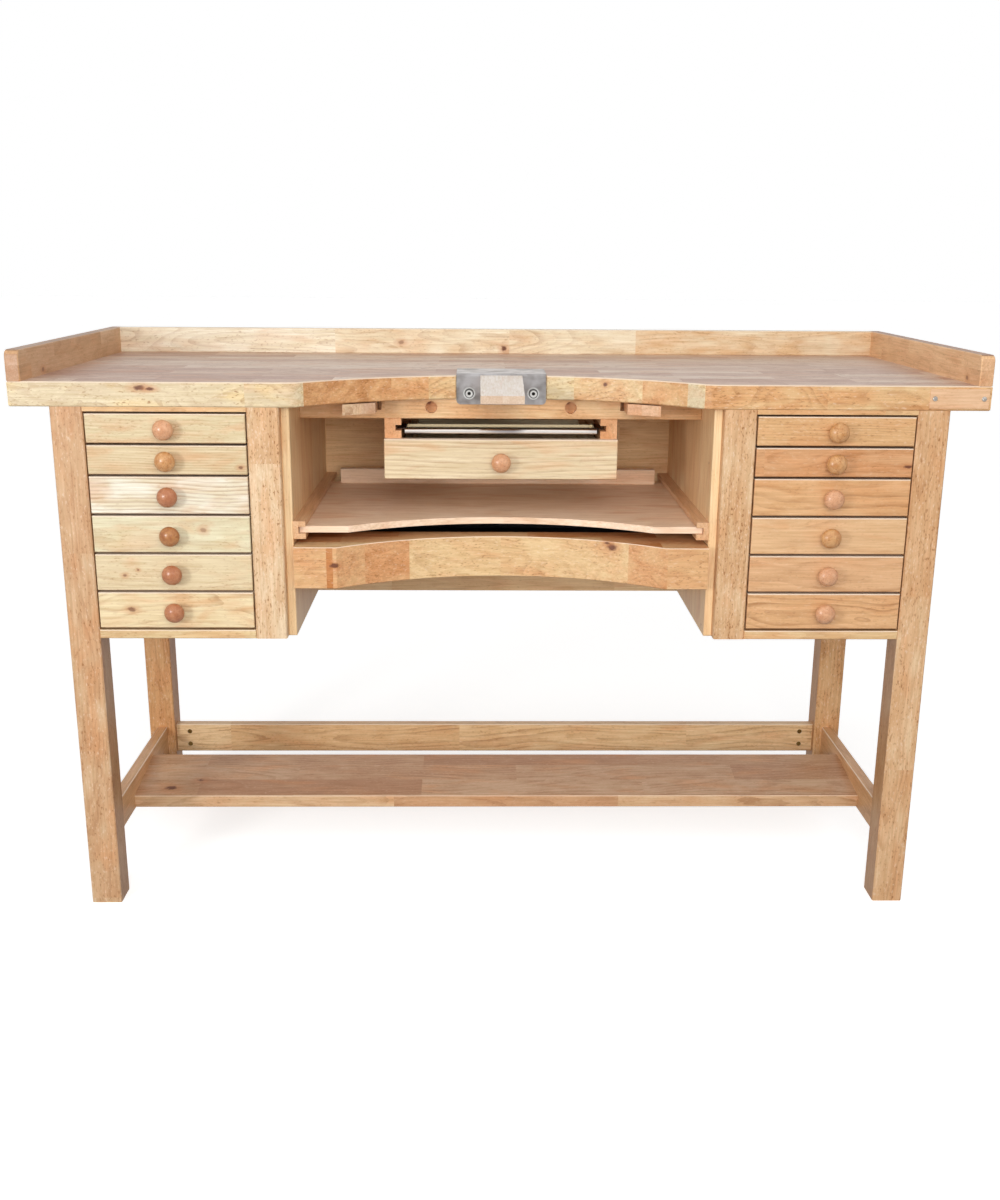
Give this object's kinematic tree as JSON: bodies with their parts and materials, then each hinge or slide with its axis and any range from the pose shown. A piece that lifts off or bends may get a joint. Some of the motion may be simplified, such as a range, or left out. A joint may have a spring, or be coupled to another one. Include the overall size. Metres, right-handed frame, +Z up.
{
  "type": "jewelers bench",
  "caption": "Wooden jeweller's bench with a hollowed worktop, bench pin, drawer case each side of the knee space, tray, catch board, sweeps drawer and tilted foot rest.",
  "frame": {"origin": "centre of the footprint, on the floor under the feet", "axes": "+X along the bench to the right of a seated worker, +Y from the front to the back, +Z up"},
  "size_m": [1.7, 0.688, 1.046],
  "materials": {
    "worktop_wood": "oiled, satin",
    "upstand_wood": "oiled, satin",
    "leg_wood": "oiled, satin",
    "stretcher_wood": "oiled, satin",
    "foot_rest_wood": "oiled, satin",
    "panel_wood": "oiled, satin",
    "back_panel_ply": "oiled, satin",
    "runner_wood": "oiled, satin",
    "apron_wood": "oiled, satin",
    "armrest_wood": "oiled, satin",
    "pin_wood": "oiled, satin",
    "catch_board_ply": "oiled, satin",
    "sweeps_wood": "oiled, satin",
    "knob_wood": "oiled, satin",
    "drawer_wood": "oiled, satin",
    "tray_steel": "satin",
    "holder_steel": "satin",
    "screw_steel": "satin",
    "pan_steel": "dark, matt",
    "nut_brass": "satin"
  },
  "bodies": {
    "bench": {"apron_rail": "apron_wood", "armrest_guides": "runner_wood", "back_panel": "back_panel_ply", "back_upstand": "upstand_wood", "barrel_nuts": "nut_brass", "bench_pin": "pin_wood", "case_bottoms": "panel_wood", "case_posts": "leg_wood", "case_rails": "panel_wood", "catch_board_runners": "runner_wood", "drawer_runners": "runner_wood", "end_panels": "panel_wood", "foot_rest": "foot_rest_wood", "front_left_leg": "leg_wood", "front_right_leg": "leg_wood", "hangers": "runner_wood", "knee_panels": "panel_wood", "left_upstand": "upstand_wood", "pin_holder": "holder_steel", "pin_holder_screws": "screw_steel", "rear_left_leg": "leg_wood", "rear_right_leg": "leg_wood", "rear_stretcher": "stretcher_wood", "right_upstand": "upstand_wood", "side_stretchers": "stretcher_wood", "stretcher_bolts": "screw_steel", "worktop": "worktop_wood"},
    "left_drawer_1_body": {"left_drawer_1": "drawer_wood", "left_knob_1": "knob_wood"},
    "left_drawer_2_body": {"left_drawer_2": "drawer_wood", "left_knob_2": "knob_wood"},
    "left_drawer_3_body": {"left_drawer_3": "drawer_wood", "left_knob_3": "knob_wood"},
    "left_drawer_4_body": {"left_drawer_4": "drawer_wood", "left_knob_4": "knob_wood"},
    "left_drawer_5_body": {"left_drawer_5": "drawer_wood", "left_knob_5": "knob_wood"},
    "left_drawer_6_body": {"left_drawer_6": "drawer_wood", "left_knob_6": "knob_wood"},
    "right_drawer_1_body": {"right_drawer_1": "drawer_wood", "right_knob_1": "knob_wood"},
    "right_drawer_2_body": {"right_drawer_2": "drawer_wood", "right_knob_2": "knob_wood"},
    "right_drawer_3_body": {"right_drawer_3": "drawer_wood", "right_knob_3": "knob_wood"},
    "right_drawer_4_body": {"right_drawer_4": "drawer_wood", "right_knob_4": "knob_wood"},
    "right_drawer_5_body": {"right_drawer_5": "drawer_wood", "right_knob_5": "knob_wood"},
    "right_drawer_6_body": {"right_drawer_6": "drawer_wood", "right_knob_6": "knob_wood"},
    "centre_drawer_body": {"centre_drawer": "drawer_wood", "centre_knob": "knob_wood"},
    "steel_tray_body": {"steel_tray": "tray_steel"},
    "catch_board_body": {"catch_board": "catch_board_ply"},
    "sweeps_drawer_body": {"sweeps_front": "sweeps_wood", "sweeps_box": "sweeps_wood", "sweeps_pan": "pan_steel"},
    "left_armrest_body": {"left_armrest": "armrest_wood"},
    "right_armrest_body": {"right_armrest": "armrest_wood"}
  },
  "joints": [
    {"name": "left_drawer_1_slide", "type": "slide", "parent": "bench", "child": "left_drawer_1_body", "axis": [0, -1, 0], "range_m": [0, 0.3]},
    {"name": "left_drawer_2_slide", "type": "slide", "parent": "bench", "child": "left_drawer_2_body", "axis": [0, -1, 0], "range_m": [0, 0.3]},
    {"name": "left_drawer_3_slide", "type": "slide", "parent": "bench", "child": "left_drawer_3_body", "axis": [0, -1, 0], "range_m": [0, 0.3]},
    {"name": "left_drawer_4_slide", "type": "slide", "parent": "bench", "child": "left_drawer_4_body", "axis": [0, -1, 0], "range_m": [0, 0.3]},
    {"name": "left_drawer_5_slide", "type": "slide", "parent": "bench", "child": "left_drawer_5_body", "axis": [0, -1, 0], "range_m": [0, 0.3]},
    {"name": "left_drawer_6_slide", "type": "slide", "parent": "bench", "child": "left_drawer_6_body", "axis": [0, -1, 0], "range_m": [0, 0.3]},
    {"name": "right_drawer_1_slide", "type": "slide", "parent": "bench", "child": "right_drawer_1_body", "axis": [0, -1, 0], "range_m": [0, 0.3]},
    {"name": "right_drawer_2_slide", "type": "slide", "parent": "bench", "child": "right_drawer_2_body", "axis": [0, -1, 0], "range_m": [0, 0.3]},
    {"name": "right_drawer_3_slide", "type": "slide", "parent": "bench", "child": "right_drawer_3_body", "axis": [0, -1, 0], "range_m": [0, 0.3]},
    {"name": "right_drawer_4_slide", "type": "slide", "parent": "bench", "child": "right_drawer_4_body", "axis": [0, -1, 0], "range_m": [0, 0.3]},
    {"name": "right_drawer_5_slide", "type": "slide", "parent": "bench", "child": "right_drawer_5_body", "axis": [0, -1, 0], "range_m": [0, 0.3]},
    {"name": "right_drawer_6_slide", "type": "slide", "parent": "bench", "child": "right_drawer_6_body", "axis": [0, -1, 0], "range_m": [0, 0.3]},
    {"name": "centre_drawer_slide", "type": "slide", "parent": "bench", "child": "centre_drawer_body", "axis": [0, -1, 0], "range_m": [0, 0.24]},
    {"name": "steel_tray_slide", "type": "slide", "parent": "bench", "child": "steel_tray_body", "axis": [0, -1, 0], "range_m": [0, 0.07]},
    {"name": "catch_board_slide", "type": "slide", "parent": "bench", "child": "catch_board_body", "axis": [0, -1, 0], "range_m": [0, 0.3]},
    {"name": "sweeps_drawer_slide", "type": "slide", "parent": "bench", "child": "sweeps_drawer_body", "axis": [0, -1, 0], "range_m": [0, 0.28]},
    {"name": "left_armrest_slide", "type": "slide", "parent": "bench", "child": "left_armrest_body", "axis": [0, -1, 0], "range_m": [0, 0.2]},
    {"name": "right_armrest_slide", "type": "slide", "parent": "bench", "child": "right_armrest_body", "axis": [0, -1, 0], "range_m": [0, 0.2]}
  ]
}
